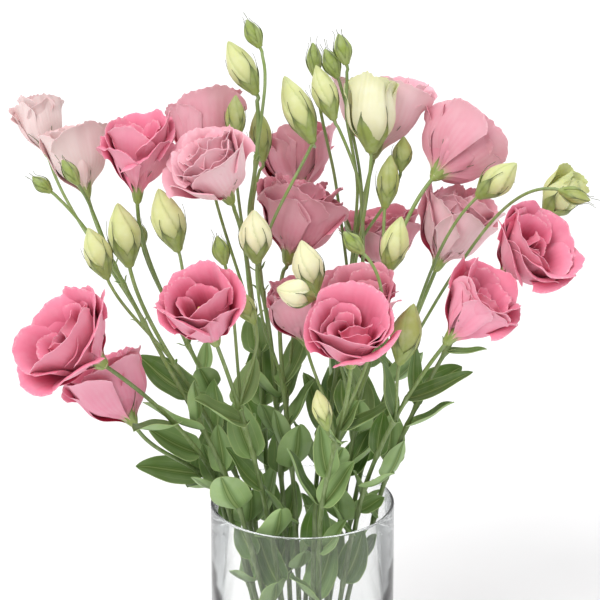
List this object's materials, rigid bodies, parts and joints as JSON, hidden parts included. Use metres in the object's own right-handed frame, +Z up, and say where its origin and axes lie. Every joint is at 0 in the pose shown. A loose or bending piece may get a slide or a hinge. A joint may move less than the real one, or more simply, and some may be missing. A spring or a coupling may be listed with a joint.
{
  "type": "lisianthus flower bouquet in a glass vase",
  "caption": "Cut lisianthus stems with ruffled pink blooms, pale buds and paired leaves, standing in a clear glass cylinder vase.",
  "frame": {"origin": "centre of the vase's underside", "axes": "+Z up along the vase's axis, -Y towards the front of the arrangement, +X to its right"},
  "size_m": [0.4635, 0.3416, 0.5924],
  "materials": {
    "clear_glass": "clear, polished, with a fire-rounded rim",
    "stem_green": "grey-green leaf and stem with a waxy bloom",
    "petal_pale": "soft satin petal, blush white",
    "petal_blush": "soft satin petal, pale pink with a deep pink throat",
    "petal_rose": "soft satin petal, rose pink with paler rims",
    "petal_dusk": "soft satin petal, dusky pink",
    "bud_ivory": "closed bud, ivory with a green foot",
    "bud_cream": "closed bud, cream green",
    "bud_olive": "closed bud, olive green"
  },
  "bodies": {
    "root": {"vase": "clear_glass", "stem_01": "stem_green", "stem_02": "stem_green", "stem_03": "stem_green", "stem_04": "stem_green", "stem_05": "stem_green", "stem_06": "stem_green", "stem_07": "stem_green", "stem_08": "stem_green", "stem_09": "stem_green", "stem_10": "stem_green", "stem_11": "stem_green", "stem_12": "stem_green", "stem_13": "stem_green", "stem_14": "stem_green", "stem_15": "stem_green", "stem_16": "stem_green", "stem_17": "stem_green", "bloom_01": "petal_pale", "bloom_02": "petal_pale", "bloom_03": "petal_rose", "bloom_04": "petal_rose", "bloom_05": "petal_rose", "bloom_06": "petal_blush", "bloom_07": "petal_dusk", "bloom_08": "petal_rose", "bloom_09": "petal_dusk", "bloom_10": "petal_dusk", "bloom_11": "petal_dusk", "bloom_12": "petal_blush", "bloom_13": "petal_dusk", "bloom_14": "petal_blush", "bloom_15": "petal_rose", "bloom_16": "petal_rose", "bloom_17": "petal_dusk", "bloom_18": "petal_dusk", "bloom_19": "petal_rose", "bud_01": "bud_cream", "bud_02": "bud_cream", "bud_03": "bud_cream", "bud_04": "bud_olive", "bud_05": "bud_olive", "bud_06": "bud_cream", "bud_07": "bud_cream", "bud_08": "bud_olive", "bud_09": "bud_ivory", "bud_10": "bud_cream", "bud_11": "bud_ivory", "bud_12": "bud_olive", "bud_13": "bud_olive", "bud_14": "bud_cream", "bud_15": "bud_cream", "bud_16": "bud_cream", "bud_17": "bud_cream", "bud_18": "bud_ivory", "bud_19": "bud_ivory", "bud_20": "bud_olive"}
  },
  "joints": []
}
